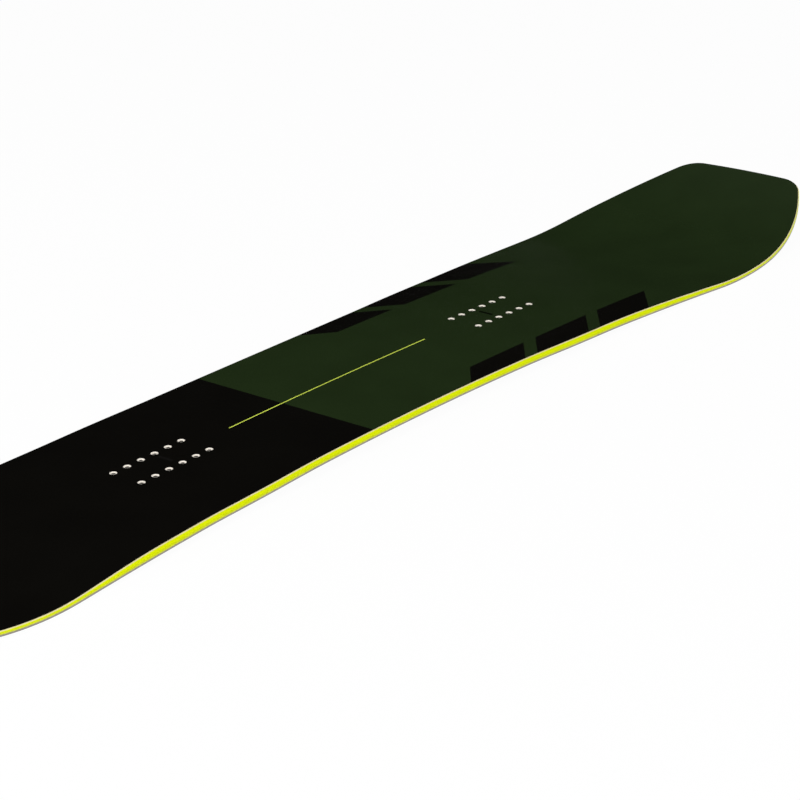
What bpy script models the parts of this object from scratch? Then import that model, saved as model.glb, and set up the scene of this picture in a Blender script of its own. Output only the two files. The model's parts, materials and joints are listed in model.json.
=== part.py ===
"""Directional freeride snowboard: a cambered sandwich board with 24 binding inserts.

Every layer of the lay-up is its own solid: base sheet, steel edges, damping foil, lower
laminate, wood stringers, sidewalls, end spacers, upper laminate, topsheet and the turned
inserts that the binding screws go into.

Frame: metres, +X towards the nose, +Y towards the left edge, +Z up. The origin lies at
mid-length on the centre line, on the floor plane that the two contact lines stand on.
"""

import bisect
import math
from dataclasses import dataclass

import bmesh
import bpy
import numpy as np
from mathutils import Matrix, Vector

# Plan outline, measured over the steel edges
BOARD_LENGTH = 1.620
WAIST_WIDTH = 0.2562
NOSE_FLARE = 0.0242  # how far each side stands out past the waist at the widest line
TAIL_FLARE = 0.0154
NOSE_LENGTH = 0.2328  # from the widest line to the tip
TAIL_LENGTH = 0.2167
NOSE_SHOULDER_RADIUS = 0.910  # flat arc over the widest line, before the side turns in
TAIL_SHOULDER_RADIUS = 0.4015
NOSE_SHOULDER_LENGTH = 0.0275  # from the widest line to the shoulder's end
TAIL_SHOULDER_LENGTH = 0.0275
NOSE_END_WIDTH = 0.1626  # where the side arcs would meet the blunt end
TAIL_END_WIDTH = 0.1600
NOSE_CORNER_RADIUS = 0.0415
TAIL_CORNER_RADIUS = 0.048
END_RADIUS = 1.400
GRIP_BULGE = 0.0011  # extra half width beside each foot, for edge grip
GRIP_BULGE_LENGTH = 0.190
GRIP_BULGE_INBOARD = 0.017  # from the insert pack's centre towards the waist

# Binding insert pattern: two rows at each foot
STANCE_WIDTH = 0.560
STANCE_SETBACK = 0.040  # stance centre behind mid-length
INSERT_PITCH = 0.020
INSERT_ROW_SPACING = 0.040
INSERT_COLUMNS = 6
PAD_MARGIN = 0.015  # flat deck beyond the outer inserts

# Side profile of the running surface
CAMBER_HEIGHT = 0.0123
NOSE_RISE_LENGTH = 0.267  # from the contact line to the tip
TAIL_RISE_LENGTH = 0.190
NOSE_RISE_RADIUS = 0.740
TAIL_RISE_RADIUS = 0.725

# Lay-up, from the snow upwards
BOND_LINE = 0.0001  # glue line between two layers
SEAM_GAP = 0.0003  # butt joint between two pieces of one layer
BASE_THICKNESS = 0.0012
EDGE_WIDTH = 0.0020
EDGE_FLANGE_THICKNESS = 0.0005
EDGE_FLANGE_LENGTH = 0.0040
FOIL_THICKNESS = 0.0003
FOIL_OVERLAP = 0.0015  # foil past the edge flange
LOWER_LAMINATE_THICKNESS = 0.0006
JOGGLE_CLEARANCE = 0.0004  # from the foil to the step in the lower laminate
JOGGLE_RUN = 0.0008
SIDEWALL_LAND = 0.0010  # flat sidewall foot inside the step
SIDEWALL_BEVEL_HEIGHT = 0.0023
SIDEWALL_BEVEL_RUN = 0.0013
CORE_THICKNESS = 0.0058
NOSE_TAPER_START = 0.235  # the core starts to thin this far inboard of the contact line
TAIL_TAPER_START = 0.160
NOSE_TAPER_LENGTH = 0.300
TAIL_TAPER_LENGTH = 0.153
NOSE_SPACER_RIM = 0.0012  # thickness of the end spacer at the board's edge
TAIL_SPACER_RIM = 0.0015
CORE_PAST_CONTACT = 0.070  # wood ends and the end spacer begins
OUTER_STRINGERS = 4  # on each side, beside the stringer that holds the inserts
UPPER_LAMINATE_THICKNESS = 0.0008
TOPSHEET_THICKNESS = 0.0005

# Turned insert
INSERT_BORE = 0.0050  # tapping size of an M6 thread
INSERT_WALL = 0.0017
INSERT_CHAMFER = 0.0012
INSERT_FLANGE_THICKNESS = 0.0010
INSERT_FLANGE_SPACING = 0.0040  # wood left between two flanges
INSERT_FIT = 0.0003  # clearance round the barrel and the flange
INSERT_RECESS = 0.0003  # insert face below the deck

# Fineness of the solids
STATION_STEP = 0.040
CORNER_STEPS = 4
END_STEPS = 2
CORNER_LEAD = 0.005  # last straight-across station before the corner
END_KNOT_STEP = 0.006
ROUND_SIDES = 12

# Levels of the lay-up above the running surface
EDGE_HEIGHT = BASE_THICKNESS + BOND_LINE + EDGE_FLANGE_THICKNESS
FOIL_SEAT = EDGE_HEIGHT + BOND_LINE
RIM_SEAT = FOIL_SEAT + FOIL_THICKNESS + BOND_LINE
INNER_SEAT = BASE_THICKNESS + BOND_LINE
JOGGLE_DEPTH = RIM_SEAT - INNER_SEAT
CORE_SEAT = INNER_SEAT + LOWER_LAMINATE_THICKNESS + BOND_LINE
RIM_CORE_SEAT = CORE_SEAT + JOGGLE_DEPTH

# Levels above the core's top face
UPPER_LAMINATE_SEAT = BOND_LINE
TOPSHEET_SEAT = UPPER_LAMINATE_SEAT + UPPER_LAMINATE_THICKNESS + BOND_LINE
DECK_LEVEL = TOPSHEET_SEAT + TOPSHEET_THICKNESS

# Distances inwards from the outer face of the steel edge
EDGE_FLANGE_INSET = EDGE_WIDTH + EDGE_FLANGE_LENGTH
BASE_INSET = EDGE_WIDTH + BOND_LINE
FOIL_INSET = EDGE_FLANGE_INSET + FOIL_OVERLAP
JOGGLE_OUTER_INSET = FOIL_INSET + JOGGLE_CLEARANCE
JOGGLE_INNER_INSET = JOGGLE_OUTER_INSET + JOGGLE_RUN
SIDEWALL_INSET = JOGGLE_INNER_INSET + SIDEWALL_LAND
CORE_INSET = SIDEWALL_INSET + BOND_LINE

# Insert sizes that follow from its neighbours
BARREL_RADIUS = INSERT_BORE / 2 + INSERT_WALL
FLANGE_RADIUS = (INSERT_PITCH - INSERT_FLANGE_SPACING) / 2
INSERT_HEIGHT = CORE_THICKNESS + DECK_LEVEL - INSERT_RECESS
PAD_LENGTH = (INSERT_COLUMNS - 1) * INSERT_PITCH + 2 * PAD_MARGIN

# Finishes: base colour, roughness, metallic
FINISHES = {
    "sintered_polyethylene": ((0.012, 0.012, 0.013), 0.38, 0.0),
    "hardened_edge_steel": ((0.30, 0.29, 0.27), 0.32, 1.0),
    "damping_rubber": ((0.015, 0.014, 0.013), 0.85, 0.0),
    "glass_laminate": ((0.62, 0.60, 0.28), 0.45, 0.0),
    "poplar": ((0.60, 0.44, 0.26), 0.70, 0.0),
    "beech": ((0.48, 0.29, 0.16), 0.65, 0.0),
    "sidewall_abs": ((0.62, 0.73, 0.02), 0.42, 0.0),
    "satin_topsheet": ((0.012, 0.022, 0.008), 0.42, 0.0),
    "stainless_insert": ((0.62, 0.60, 0.54), 0.28, 1.0),
}


@dataclass(frozen=True)
class BoardEnd:
    """One end of the outline, in a frame where u runs from mid-length to this tip."""

    sign: int
    length: float
    flare: float
    shoulder_radius: float
    shoulder_length: float
    end_width: float
    corner_radius: float
    rise_length: float
    rise_radius: float
    taper_start: float
    taper_length: float
    spacer_rim: float

    @property
    def tip(self):
        return BOARD_LENGTH / 2

    @property
    def widest(self):
        return self.tip - self.length

    @property
    def half_width(self):
        return WAIST_WIDTH / 2 + self.flare

    @property
    def contact(self):
        return self.tip - self.rise_length

    @property
    def core_end(self):
        return self.contact + CORE_PAST_CONTACT

    @property
    def shoulder_centre(self):
        return Vector((self.widest, self.half_width - self.shoulder_radius))

    @property
    def shoulder_normal(self):
        """Outward direction where the shoulder arc runs into the side arc."""
        lean = self.shoulder_length / self.shoulder_radius
        return Vector((lean, math.sqrt(1 - lean**2)))

    @property
    def side_radius(self):
        """Radius of the arc from the shoulder's end to the end of the blunt nose or tail."""
        start = self.shoulder_centre + self.shoulder_normal * self.shoulder_radius
        chord = start - Vector((self.tip, self.end_width / 2))
        return chord.length_squared / (2 * chord.dot(self.shoulder_normal))

    @property
    def side_centre(self):
        return self.shoulder_centre + self.shoulder_normal * (self.shoulder_radius - self.side_radius)

    @property
    def end_centre(self):
        return Vector((self.tip - END_RADIUS, 0.0))

    @property
    def corner_centre(self):
        """Centre of the corner arc, tangent inside both the side arc and the end arc."""
        to_side = self.side_radius - self.corner_radius
        to_end = END_RADIUS - self.corner_radius
        base = self.side_centre - self.end_centre
        along = (base.length_squared + to_end**2 - to_side**2) / (2 * base.length)
        across = math.sqrt(to_end**2 - along**2)
        forward = base.normalized()
        sideways = Vector((forward.y, -forward.x))
        if sideways.x < 0:
            sideways = -sideways
        return self.end_centre + forward * along + sideways * across

    def corner_angles(self):
        """Directions of the corner arc's two ends: at the side arc and at the end arc."""
        from_side = self.corner_centre - self.side_centre
        from_end = self.corner_centre - self.end_centre
        return math.atan2(from_side.y, from_side.x), math.atan2(from_end.y, from_end.x)

    @property
    def last_station(self):
        """Outermost u that every inset outline crosses straight, before its corner begins."""
        start = self.corner_angles()[0]
        reach = (self.corner_radius - JOGGLE_INNER_INSET) * math.cos(start)
        return self.corner_centre.x + reach - CORNER_LEAD


NOSE = BoardEnd(1, NOSE_LENGTH, NOSE_FLARE, NOSE_SHOULDER_RADIUS, NOSE_SHOULDER_LENGTH,
                NOSE_END_WIDTH, NOSE_CORNER_RADIUS, NOSE_RISE_LENGTH, NOSE_RISE_RADIUS,
                NOSE_TAPER_START, NOSE_TAPER_LENGTH, NOSE_SPACER_RIM)
TAIL = BoardEnd(-1, TAIL_LENGTH, TAIL_FLARE, TAIL_SHOULDER_RADIUS, TAIL_SHOULDER_LENGTH,
                TAIL_END_WIDTH, TAIL_CORNER_RADIUS, TAIL_RISE_LENGTH, TAIL_RISE_RADIUS,
                TAIL_TAPER_START, TAIL_TAPER_LENGTH, TAIL_SPACER_RIM)
PACK_CENTRES = {
    "rear": -STANCE_SETBACK - STANCE_WIDTH / 2,
    "front": -STANCE_SETBACK + STANCE_WIDTH / 2,
}


@dataclass(frozen=True)
class Station:
    """A point of the half outline; corner and end points carry their outward normal."""

    x: float
    y: float
    normal: tuple = None


def solve_sidecut():
    """Radius and waist position of the arc tangent to both shoulders, as deep as the waist."""
    span = NOSE.widest + TAIL.widest
    square = 1 / (2 * NOSE_FLARE) - 1 / (2 * TAIL_FLARE)
    linear = span / TAIL_FLARE
    constant = (NOSE_FLARE - TAIL_FLARE) / 2 - NOSE.shoulder_radius + TAIL.shoulder_radius
    constant -= span**2 / (2 * TAIL_FLARE)
    to_nose = -2 * constant / (linear + math.sqrt(linear**2 - 4 * square * constant))
    radius = (to_nose**2 + NOSE_FLARE**2) / (2 * NOSE_FLARE) - NOSE.shoulder_radius
    return radius, NOSE.widest - to_nose


SIDECUT_RADIUS, WAIST_X = solve_sidecut()


def grip_bulge(x):
    """Extra half width beside the feet, a smooth swell at each insert pack."""
    swell = 0.0
    for centre in PACK_CENTRES.values():
        inboard = math.copysign(GRIP_BULGE_INBOARD, -STANCE_SETBACK - centre)
        reach = (x - centre - inboard) / (GRIP_BULGE_LENGTH / 2)
        if abs(reach) < 1:
            swell += GRIP_BULGE * (1 + math.cos(math.pi * reach)) / 2
    return swell


def true_half_width(x, inset):
    """Half width at x of the outline set inwards by inset, between the two corners."""
    for end in (NOSE, TAIL):
        u = end.sign * x
        waist = end.sign * WAIST_X
        share = (SIDECUT_RADIUS + inset) / (SIDECUT_RADIUS + end.shoulder_radius)
        if u > waist + (end.widest - waist) * share:
            centre, radius = end.shoulder_centre, end.shoulder_radius
            if u > end.widest + (radius - inset) * end.shoulder_normal.x:
                centre, radius = end.side_centre, end.side_radius
            return centre.y + math.sqrt((radius - inset) ** 2 - (u - centre.x) ** 2) + grip_bulge(x)
    hollow = math.sqrt((SIDECUT_RADIUS + inset) ** 2 - (x - WAIST_X) ** 2)
    return WAIST_WIDTH / 2 + SIDECUT_RADIUS - hollow + grip_bulge(x)


def subdivide(keys, step):
    """Values from the first key to the last, through every key, no further apart than step."""
    values = [keys[0]]
    for start, stop in zip(keys[:-1], keys[1:]):
        count = max(1, math.ceil((stop - start) / step - 1e-6))
        values.extend(start + (stop - start) * k / count for k in range(1, count + 1))
    return values


def straight_stations():
    """The x places between the corners where every layer of the lay-up has a cross line."""
    keys = {-TAIL.last_station, -TAIL.contact, NOSE.contact, NOSE.last_station}
    for centre in PACK_CENTRES.values():
        keys.update((centre - PAD_LENGTH / 2, centre + PAD_LENGTH / 2))
    return subdivide(sorted(keys), STATION_STEP)


STRAIGHT_X = straight_stations()


def half_width(x, inset):
    """Half width at x of the same outline, straight from one station to the next."""
    after = min(max(bisect.bisect_left(STRAIGHT_X, x), 1), len(STRAIGHT_X) - 1)
    start, stop = STRAIGHT_X[after - 1], STRAIGHT_X[after]
    share = (x - start) / (stop - start)
    return (1 - share) * true_half_width(start, inset) + share * true_half_width(stop, inset)


def end_stations(end):
    """Stations round one corner and on to the middle of the tip, at inset zero."""
    start, stop = end.corner_angles()
    rounds = [(end.corner_centre, end.corner_radius, start + (stop - start) * k / CORNER_STEPS)
              for k in range(CORNER_STEPS + 1)]
    rounds += [(end.end_centre, END_RADIUS, stop * (1 - k / END_STEPS))
               for k in range(1, END_STEPS + 1)]
    stations = []
    for centre, radius, angle in rounds:
        normal = Vector((math.cos(angle), math.sin(angle)))
        point = centre + normal * radius
        stations.append(Station(end.sign * point.x, point.y, (end.sign * normal.x, normal.y)))
    return stations


def straight_run(start, stop):
    """Stations between the corners from start to stop, both included."""
    places = [start] + [x for x in STRAIGHT_X if start < x < stop] + [stop]
    return [Station(x, half_width(x, 0.0)) for x in places]


def whole_outline():
    """Stations of the half outline from the middle of the tail to the middle of the nose."""
    middle = straight_run(STRAIGHT_X[0], STRAIGHT_X[-1])
    return end_stations(TAIL)[::-1] + middle + end_stations(NOSE)


def place(station, inset):
    """Plan position of a station set inwards by inset."""
    if station.normal is None:
        return station.x, half_width(station.x, inset)
    return station.x - inset * station.normal[0], station.y - inset * station.normal[1]


def true_running_surface(x):
    """Height of the running surface: one camber arc, tangent to the rise at either end."""
    middle = (NOSE.contact - TAIL.contact) / 2
    half_contact = (NOSE.contact + TAIL.contact) / 2
    end = NOSE if x > middle else TAIL
    reach = abs(x - middle)
    radii = (half_contact**2 + CAMBER_HEIGHT**2) / (2 * CAMBER_HEIGHT)
    camber_radius = radii - end.rise_radius
    if reach < half_contact * camber_radius / radii:
        return CAMBER_HEIGHT - camber_radius + math.sqrt(camber_radius**2 - reach**2)
    return end.rise_radius - math.sqrt(end.rise_radius**2 - (reach - half_contact) ** 2)


def true_core_thickness(x):
    """Thickness of the core: full underfoot, thinned smoothly towards both ends."""
    end = NOSE if x > (NOSE.contact - TAIL.contact) / 2 else TAIL
    past_start = end.sign * x - (end.contact - end.taper_start)
    share = min(1.0, max(0.0, past_start / end.taper_length))
    blend = (1 - math.cos(math.pi * share)) / 2
    tip_thickness = end.spacer_rim + JOGGLE_DEPTH
    return CORE_THICKNESS + (tip_thickness - CORE_THICKNESS) * blend


def profile_knots():
    """Places where the faceted side profile touches the true one; the pads stay flat."""
    tail_side = subdivide([-TAIL.tip, STRAIGHT_X[0]], END_KNOT_STEP)
    nose_side = subdivide([STRAIGHT_X[-1], NOSE.tip], END_KNOT_STEP)
    flat = PAD_LENGTH / 2 - BOND_LINE
    middle = [x for x in STRAIGHT_X if all(abs(x - c) > flat for c in PACK_CENTRES.values())]
    return tail_side[:-1] + middle + nose_side[1:]


KNOTS = profile_knots()
KNOT_HEIGHTS = [true_running_surface(x) for x in KNOTS]
KNOT_CORES = [true_core_thickness(x) for x in KNOTS]


def running_surface(x):
    """Height of the faceted running surface at x."""
    return float(np.interp(x, KNOTS, KNOT_HEIGHTS))


def core_thickness(x):
    """Thickness of the faceted core at x."""
    return float(np.interp(x, KNOTS, KNOT_CORES))


def above_base(offset):
    """Height function of a level measured from the running surface."""
    return lambda x: running_surface(x) + offset


def above_core(offset):
    """Height function of a level measured from the core's top face."""
    return lambda x: running_surface(x) + CORE_SEAT + core_thickness(x) + offset


def bevel_share(x):
    """Part of the full sidewall bevel that the rim is thick enough for."""
    rim = core_thickness(x) - JOGGLE_DEPTH
    return min(1.0, rim / 2 / SIDEWALL_BEVEL_HEIGHT)


def bevelled_inset(offset):
    """Inset function of the top rim: the sidewall bevel's run, and then offset at 45 degrees."""
    return lambda x: SIDEWALL_BEVEL_RUN * bevel_share(x) + offset


def even_inset(offset):
    """Inset function of a line that keeps one distance from the outline."""
    return lambda x: offset


def bevel_foot(x):
    """Height of the line where the sidewall's bevel starts."""
    return above_core(0.0)(x) - SIDEWALL_BEVEL_HEIGHT * bevel_share(x)


def material(finish):
    """The material of a finish, made once."""
    if finish in bpy.data.materials:
        return bpy.data.materials[finish]
    colour, roughness, metallic = FINISHES[finish]
    made = bpy.data.materials.new(finish)
    made.use_nodes = True
    shader = made.node_tree.nodes["Principled BSDF"]
    shader.inputs["Base Color"].default_value = (*colour, 1.0)
    shader.inputs["Roughness"].default_value = roughness
    shader.inputs["Metallic"].default_value = metallic
    made.diffuse_color = (*colour, 1.0)
    return made


def finished_mesh(name, bm, finish):
    """A mesh with its faces pointing out and its finish, from a bmesh that is then freed."""
    bmesh.ops.recalc_face_normals(bm, faces=bm.faces)
    mesh = bpy.data.meshes.new(name)
    bm.to_mesh(mesh)
    bm.free()
    if finish:
        mesh.materials.append(material(finish))
    return mesh


def add_object(name, mesh, parent=None):
    """An object in the scene, under its parent."""
    made = bpy.data.objects.new(name, mesh)
    bpy.context.scene.collection.objects.link(made)
    made.parent = parent
    return made


def loft(rings):
    """A closed solid through rings of points, with a flat face at either end."""
    bm = bmesh.new()
    rows = [[bm.verts.new(point) for point in ring] for ring in rings]
    for row, following in zip(rows[:-1], rows[1:]):
        for k in range(len(row)):
            after = (k + 1) % len(row)
            bm.faces.new((row[k], row[after], following[after], following[k]))
    bm.faces.new(rows[0])
    bm.faces.new(rows[-1][::-1])
    return bm


def shell(stations, lines):
    """A closed plate across the board, from lines that run from its under face to its top face.

    Each line is an inset function and a height function. The plate is the same on both sides
    of the centre line, and a plate that starts or stops short of a tip gets a flat end face.
    """
    bm = bmesh.new()
    left = []
    right = []
    for inset, height in lines:
        points = [place(station, inset(station.x)) for station in stations]
        row = [bm.verts.new((x, max(y, 0.0), height(x))) for x, y in points]
        left.append(row)
        right.append([vert if vert.co.y < SEAM_GAP else bm.verts.new((vert.co.x, -vert.co.y, vert.co.z))
                      for vert in row])

    def add_face(*corners):
        distinct = list(dict.fromkeys(corners))
        if len(distinct) > 2:
            bm.faces.new(distinct)

    for i in range(len(stations) - 1):
        for rows in (left, right):
            for line, above in zip(rows[:-1], rows[1:]):
                outer, inner = (line, above) if abs(line[i].co.y) > abs(above[i].co.y) else (above, line)
                add_face(outer[i], outer[i + 1], inner[i + 1])
                add_face(outer[i], inner[i + 1], inner[i])
        for k in (0, -1):
            add_face(left[k][i], left[k][i + 1], right[k][i + 1], right[k][i])
    for i in (0, -1):
        ends = [line[i] for line in left] + [line[i] for line in right[::-1]]
        if ends[0] is not ends[-1]:
            add_face(*ends)
    return bm


def edge_rail(stations, side, section):
    """A solid along one edge, from a closed section of inset and height functions."""
    rings = []
    for station in stations:
        ring = []
        for inset, height in section:
            x, y = place(station, inset(station.x))
            ring.append((x, side * max(y, SEAM_GAP / 2), height(x)))
        rings.append(ring)
    return loft(rings)


def base_sheet():
    """Sintered running base between the steel edges."""
    inset = even_inset(BASE_INSET)
    return shell(whole_outline(), [(inset, above_base(0.0)), (inset, above_base(BASE_THICKNESS))])


def steel_edge(side):
    """Half of the wrap-round steel edge: a bar with a flange over the base sheet."""
    flange = above_base(EDGE_HEIGHT - EDGE_FLANGE_THICKNESS)
    section = [
        (even_inset(0.0), above_base(0.0)),
        (even_inset(EDGE_WIDTH), above_base(0.0)),
        (even_inset(EDGE_WIDTH), flange),
        (even_inset(EDGE_FLANGE_INSET), flange),
        (even_inset(EDGE_FLANGE_INSET), above_base(EDGE_HEIGHT)),
        (even_inset(0.0), above_base(EDGE_HEIGHT)),
    ]
    return edge_rail(whole_outline(), side, section)


def damping_foil(side):
    """Rubber foil bonded over one steel edge's flange."""
    section = [
        (even_inset(0.0), above_base(FOIL_SEAT)),
        (even_inset(FOIL_INSET), above_base(FOIL_SEAT)),
        (even_inset(FOIL_INSET), above_base(FOIL_SEAT + FOIL_THICKNESS)),
        (even_inset(0.0), above_base(FOIL_SEAT + FOIL_THICKNESS)),
    ]
    return edge_rail(whole_outline(), side, section)


def lower_laminate():
    """Glass laminate that steps up over the edge flange and its foil."""
    lines = [
        (even_inset(JOGGLE_INNER_INSET), above_base(INNER_SEAT)),
        (even_inset(JOGGLE_OUTER_INSET), above_base(RIM_SEAT)),
        (even_inset(0.0), above_base(RIM_SEAT)),
        (even_inset(0.0), above_base(RIM_SEAT + LOWER_LAMINATE_THICKNESS)),
        (even_inset(JOGGLE_OUTER_INSET), above_base(RIM_SEAT + LOWER_LAMINATE_THICKNESS)),
        (even_inset(JOGGLE_INNER_INSET), above_base(INNER_SEAT + LOWER_LAMINATE_THICKNESS)),
    ]
    return shell(whole_outline(), lines)


def sidewall(side):
    """Moulded sidewall beside the wood core, bevelled towards the deck."""
    section = [
        (even_inset(0.0), above_base(RIM_CORE_SEAT)),
        (even_inset(JOGGLE_OUTER_INSET), above_base(RIM_CORE_SEAT)),
        (even_inset(JOGGLE_INNER_INSET), above_base(CORE_SEAT)),
        (even_inset(SIDEWALL_INSET), above_base(CORE_SEAT)),
        (even_inset(SIDEWALL_INSET), above_core(0.0)),
        (bevelled_inset(0.0), above_core(0.0)),
        (even_inset(0.0), bevel_foot),
    ]
    run = straight_run(-TAIL.core_end, NOSE.core_end)
    return edge_rail(run, side, section)


def end_spacer(end):
    """Moulded filler that takes the core's place in the nose or the tail."""
    lines = [
        (even_inset(JOGGLE_INNER_INSET), above_base(CORE_SEAT)),
        (even_inset(JOGGLE_OUTER_INSET), above_base(RIM_CORE_SEAT)),
        (even_inset(0.0), above_base(RIM_CORE_SEAT)),
        (even_inset(0.0), bevel_foot),
        (bevelled_inset(0.0), above_core(0.0)),
    ]
    joint = end.core_end + SEAM_GAP
    if end is NOSE:
        stations = straight_run(joint, STRAIGHT_X[-1]) + end_stations(NOSE)
    else:
        stations = end_stations(TAIL)[::-1] + straight_run(STRAIGHT_X[0], -joint)
    return shell(stations, lines)


def stringer(side, inner, outer):
    """One wood strip of the core; with no outer line it reaches out to the sidewall."""
    rings = []
    for station in straight_run(-TAIL.core_end, NOSE.core_end):
        x = station.x
        low = above_base(CORE_SEAT)(x)
        high = above_core(0.0)(x)
        near = inner + BOND_LINE / 2
        far = outer - BOND_LINE / 2 if outer else half_width(x, CORE_INSET)
        rings.append([(x, side * near, low), (x, side * far, low),
                      (x, side * far, high), (x, side * near, high)])
    return loft(rings)


def stringer_lines():
    """Distances of the glue lines between stringers from the centre line, on one side."""
    first = INSERT_ROW_SPACING
    pitch = (half_width(WAIST_X, CORE_INSET) - first) / OUTER_STRINGERS
    return [first + pitch * k for k in range(OUTER_STRINGERS)]


def upper_laminate():
    """Glass laminate over the core, its rim ground back at 45 degrees."""
    top = UPPER_LAMINATE_SEAT + UPPER_LAMINATE_THICKNESS
    lines = [
        (bevelled_inset(UPPER_LAMINATE_SEAT), above_core(UPPER_LAMINATE_SEAT)),
        (bevelled_inset(top), above_core(top)),
    ]
    return shell(whole_outline(), lines)


def topsheet():
    """Decorated top layer, its rim ground back in line with the laminate below."""
    lines = [
        (bevelled_inset(TOPSHEET_SEAT), above_core(TOPSHEET_SEAT)),
        (bevelled_inset(DECK_LEVEL), above_core(DECK_LEVEL)),
    ]
    return shell(whole_outline(), lines)


def turned(profile):
    """A closed solid of revolution about Z from a closed profile of radius and height."""
    bm = bmesh.new()
    verts = [bm.verts.new((radius, 0.0, height)) for radius, height in profile]
    edges = [bm.edges.new((verts[k - 1], verts[k])) for k in range(len(verts))]
    bmesh.ops.spin(bm, geom=verts + edges, cent=(0, 0, 0), axis=(0, 0, 1),
                   angle=math.tau, steps=ROUND_SIDES, use_merge=True)
    return bm


def insert_profile():
    """Half section of the insert: flange at the foot, barrel, chamfered tapped bore."""
    bore = INSERT_BORE / 2
    return [
        (bore, 0.0),
        (FLANGE_RADIUS, 0.0),
        (FLANGE_RADIUS, INSERT_FLANGE_THICKNESS),
        (BARREL_RADIUS, INSERT_FLANGE_THICKNESS),
        (BARREL_RADIUS, INSERT_HEIGHT),
        (bore + INSERT_CHAMFER, INSERT_HEIGHT),
        (bore, INSERT_HEIGHT - INSERT_CHAMFER),
    ]


def insert_seats():
    """Name and placing of every insert: square to the flat pad, on the lower laminate."""
    seats = {}
    for foot, centre in PACK_CENTRES.items():
        rise = running_surface(centre + PAD_LENGTH / 2) - running_surface(centre - PAD_LENGTH / 2)
        tilt = Matrix.Rotation(-math.atan2(rise, PAD_LENGTH), 4, "Y")
        for column in range(INSERT_COLUMNS):
            x = centre + (column - (INSERT_COLUMNS - 1) / 2) * INSERT_PITCH
            for side, name in ((1, "left"), (-1, "right")):
                y = side * INSERT_ROW_SPACING / 2
                seat = Vector((x, y, running_surface(x) + CORE_SEAT))
                seats[f"insert_{foot}_{name}_{column + 1}"] = Matrix.Translation(seat) @ tilt
    return seats


def drill(name, radius, low, high, seats):
    """A hidden cutter with one round bar at every insert, from low to high above its seat."""
    bm = bmesh.new()
    for seat in seats.values():
        middle = Matrix.Translation((0, 0, (low + high) / 2))
        bmesh.ops.create_cone(bm, cap_ends=True, segments=ROUND_SIDES, radius1=radius,
                              radius2=radius, depth=high - low, matrix=seat @ middle)
    cutter = add_object(name, finished_mesh(name, bm, None))
    cutter.hide_render = True
    cutter.display_type = "WIRE"
    return cutter


def cut(target, *cutters):
    """Take the cutters out of a piece with exact booleans."""
    for cutter in cutters:
        modifier = target.modifiers.new(cutter.name, "BOOLEAN")
        modifier.operation = "DIFFERENCE"
        modifier.solver = "EXACT"
        modifier.object = cutter


def build():
    """Make every piece of the board under one parent."""
    for old in list(bpy.data.objects):
        bpy.data.objects.remove(old, do_unlink=True)
    board = add_object("snowboard", None)
    seats = insert_seats()
    bore = drill("insert_bore_cutter", BARREL_RADIUS + INSERT_FIT, -CORE_THICKNESS,
                 2 * CORE_THICKNESS + DECK_LEVEL, seats)
    pocket = drill("insert_flange_cutter", FLANGE_RADIUS + INSERT_FIT, -CORE_THICKNESS,
                   INSERT_FLANGE_THICKNESS + INSERT_FIT, seats)

    def piece(name, bm, finish):
        return add_object(name, finished_mesh(name, bm, finish), board)

    piece("base_sheet", base_sheet(), "sintered_polyethylene")
    piece("lower_laminate", lower_laminate(), "glass_laminate")
    piece("nose_spacer", end_spacer(NOSE), "sidewall_abs")
    piece("tail_spacer", end_spacer(TAIL), "sidewall_abs")
    lines = stringer_lines()
    for side, name in ((1, "left"), (-1, "right")):
        piece(f"steel_edge_{name}", steel_edge(side), "hardened_edge_steel")
        piece(f"damping_foil_{name}", damping_foil(side), "damping_rubber")
        piece(f"sidewall_{name}", sidewall(side), "sidewall_abs")
        holder = piece(f"insert_stringer_{name}", stringer(side, 0.0, lines[0]), "beech")
        cut(holder, bore, pocket)
        for k, (inner, outer) in enumerate(zip(lines, lines[1:] + [None])):
            piece(f"stringer_{name}_{k + 1}", stringer(side, inner, outer), "poplar")
    cut(piece("upper_laminate", upper_laminate(), "glass_laminate"), bore)
    cut(piece("topsheet", topsheet(), "satin_topsheet"), bore)

    insert_mesh = finished_mesh("insert", turned(insert_profile()), "stainless_insert")
    insert_mesh.shade_smooth()
    insert_mesh.set_sharp_from_angle(angle=math.radians(40))
    for name, seat in seats.items():
        add_object(name, insert_mesh, board).matrix_world = seat


build()
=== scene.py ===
"""Looks of a directional cambered snowboard, shown bare with its 24 binding inserts.

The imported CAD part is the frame: metres, +X towards the nose, +Y towards the left edge, +Z up.
Every layer that shows is rebuilt here as a fine smooth piece in the place of its faceted node.
The wood inside keeps its CAD nodes and gets a finish.
"""

import json
import logging
import math
from collections.abc import Sequence
from dataclasses import dataclass, field
from enum import Enum
from functools import cached_property

import bmesh
import bpy
from mathutils import Euler, Matrix, Vector

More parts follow.
